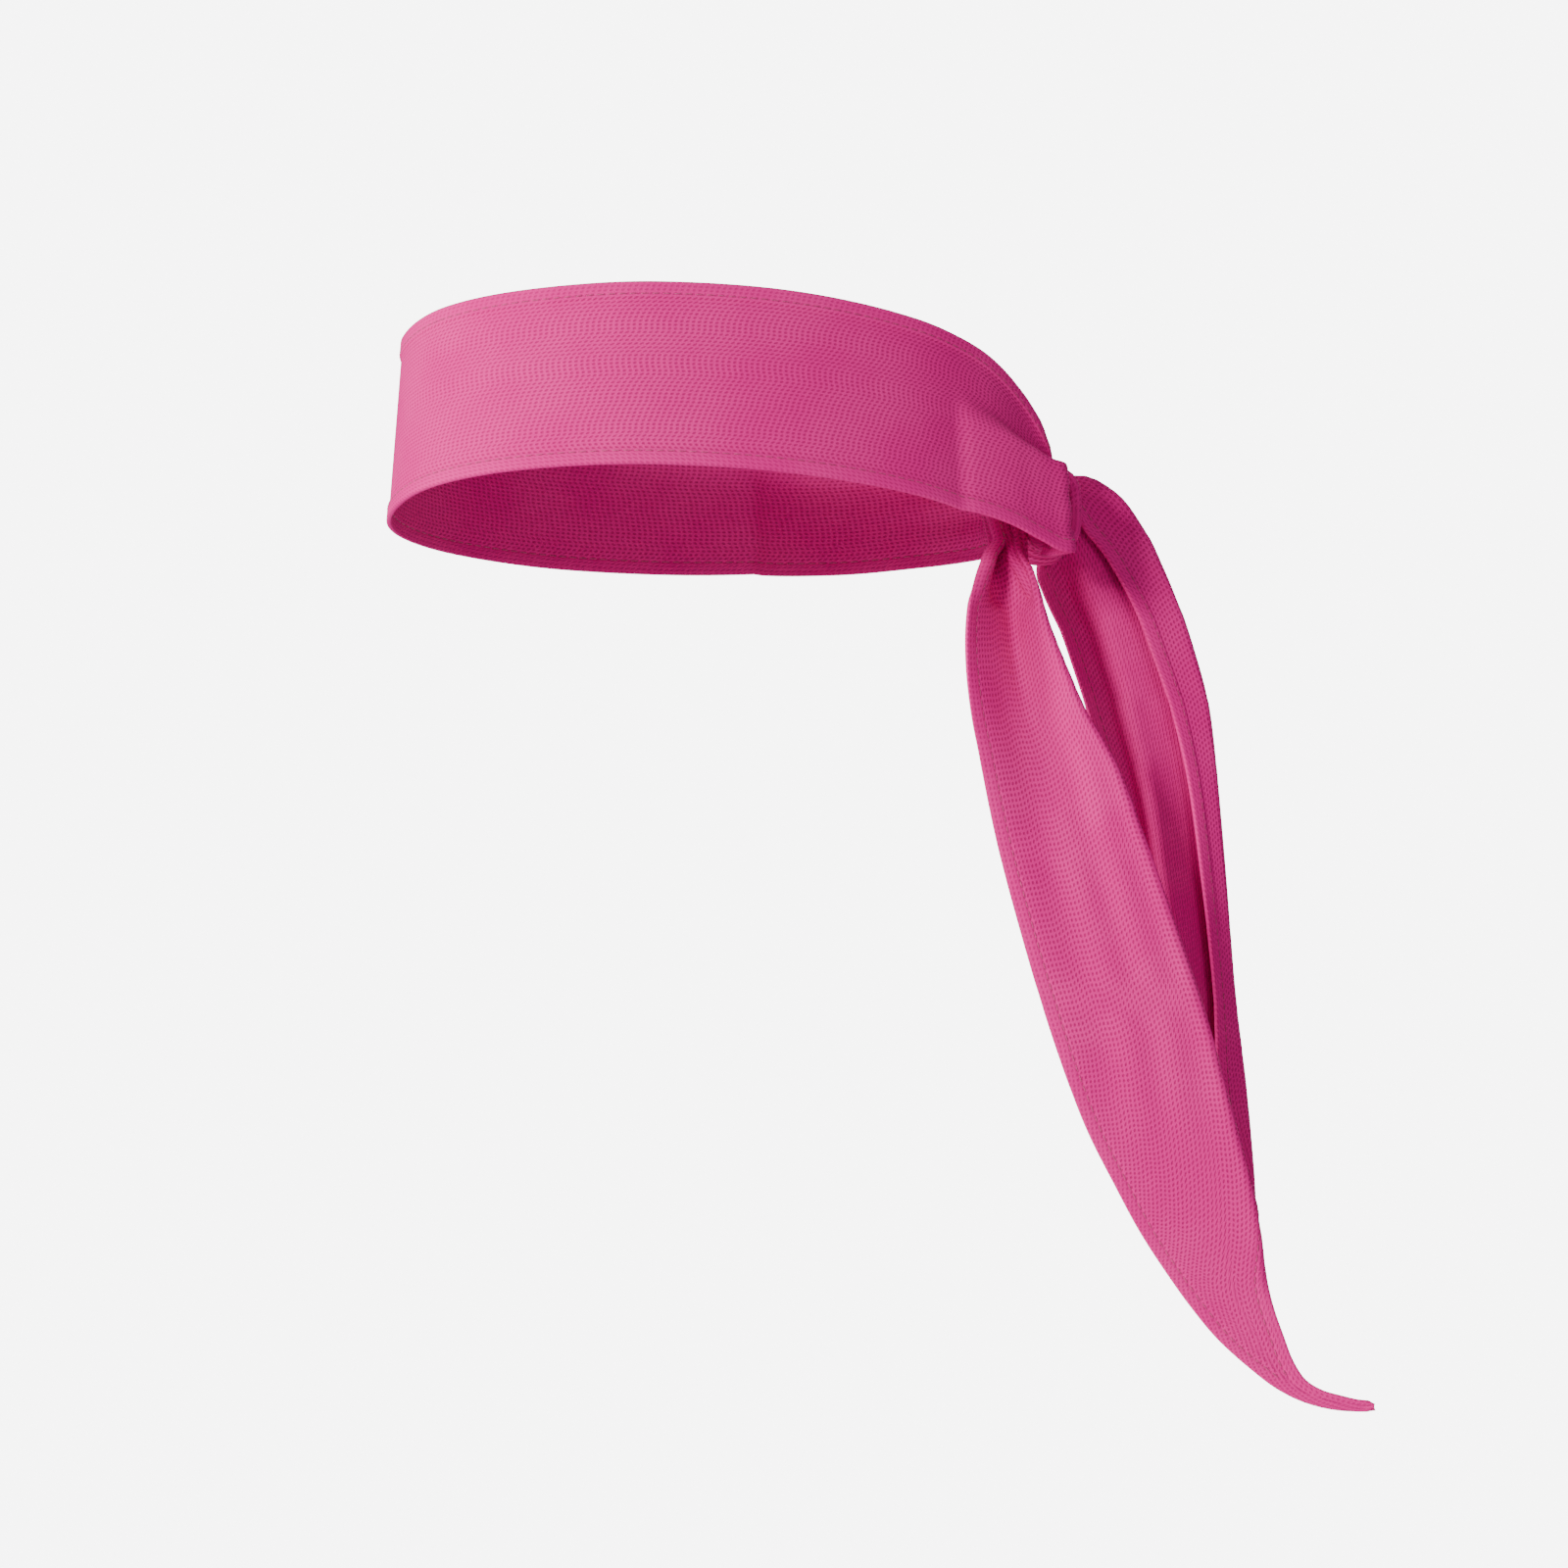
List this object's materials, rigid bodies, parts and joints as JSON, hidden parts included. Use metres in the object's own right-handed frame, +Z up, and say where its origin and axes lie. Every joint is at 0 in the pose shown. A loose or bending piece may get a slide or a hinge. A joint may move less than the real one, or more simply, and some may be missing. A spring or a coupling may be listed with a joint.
{
  "type": "tie headband",
  "caption": "Sports tie headband of bright pink mesh cloth, knotted at the back with two pointed tails that hang and swing.",
  "frame": {"origin": "middle of the head opening, halfway up the band at the sides", "axes": "+Z up along the wearer's head, -Y towards the forehead, +Y towards the knot, +X the wearer's left"},
  "size_m": [0.1314, 0.2932, 0.3351],
  "materials": {
    "mesh_cloth": "matte bird-eye mesh knit",
    "hem_cloth": "matte mesh knit, turned in and pressed",
    "thread": "matte polyester thread"
  },
  "bodies": {
    "band": {"forehead_panel": "mesh_cloth", "knot_wrap": "mesh_cloth", "left_rear_strand": "mesh_cloth", "left_side_panel": "mesh_cloth", "left_strand_in_knot": "mesh_cloth", "left_tail_root": "mesh_cloth", "lower_hem": "hem_cloth", "lower_hem_thread": "thread", "right_rear_strand": "mesh_cloth", "right_side_panel": "mesh_cloth", "right_strand_in_knot": "mesh_cloth", "right_tail_in_knot": "mesh_cloth", "upper_hem": "hem_cloth", "upper_hem_thread": "thread"},
    "left_throat": {"left_tail_throat": "mesh_cloth"},
    "left_upper": {"left_tail_upper": "mesh_cloth", "left_tail_upper_front_hem": "hem_cloth", "left_tail_upper_front_hem_thread": "thread", "left_tail_upper_rear_hem": "hem_cloth", "left_tail_upper_rear_hem_thread": "thread"},
    "left_lower": {"left_tail_lower": "mesh_cloth", "left_tail_lower_front_hem": "hem_cloth", "left_tail_lower_front_hem_thread": "thread", "left_tail_lower_rear_hem": "hem_cloth", "left_tail_lower_rear_hem_thread": "thread", "left_tail_tip": "mesh_cloth"},
    "right_throat": {"right_tail_throat": "mesh_cloth"},
    "right_upper": {"right_tail_upper": "mesh_cloth", "right_tail_upper_front_hem": "hem_cloth", "right_tail_upper_front_hem_thread": "thread", "right_tail_upper_rear_hem": "hem_cloth", "right_tail_upper_rear_hem_thread": "thread"},
    "right_lower": {"right_tail_lower": "mesh_cloth", "right_tail_lower_front_hem": "hem_cloth", "right_tail_lower_front_hem_thread": "thread", "right_tail_lower_rear_hem": "hem_cloth", "right_tail_lower_rear_hem_thread": "thread", "right_tail_tip": "mesh_cloth"}
  },
  "joints": [
    {"name": "left_tail_swing", "type": "hinge", "parent": "band", "child": "left_throat", "pos_m": [0.01191, 0.0852, -0.041], "axis": [0.9781, -0.2079, 0], "range_deg": [-25, 30]},
    {"name": "left_tail_lift", "type": "hinge", "parent": "left_throat", "child": "left_upper", "pos_m": [0.01464, 0.08408, -0.06159], "axis": [-0.2079, -0.9781, 0], "range_deg": [0, 60]},
    {"name": "left_tail_bend", "type": "hinge", "parent": "left_upper", "child": "left_lower", "pos_m": [0.02824, 0.10872, -0.15716], "axis": [-0.2079, -0.9781, 0], "range_deg": [0, 60]},
    {"name": "right_tail_swing", "type": "hinge", "parent": "band", "child": "right_throat", "pos_m": [-0.01434, 0.10213, -0.022], "axis": [0.9781, -0.2079, 0], "range_deg": [-8, 30]},
    {"name": "right_tail_lift", "type": "hinge", "parent": "right_throat", "child": "right_upper", "pos_m": [-0.00849, 0.12278, -0.0458], "axis": [0.2079, 0.9781, 0], "range_deg": [0, 60]},
    {"name": "right_tail_bend", "type": "hinge", "parent": "right_upper", "child": "right_lower", "pos_m": [0.00287, 0.13959, -0.13386], "axis": [0.2079, 0.9781, 0], "range_deg": [0, 60]}
  ]
}
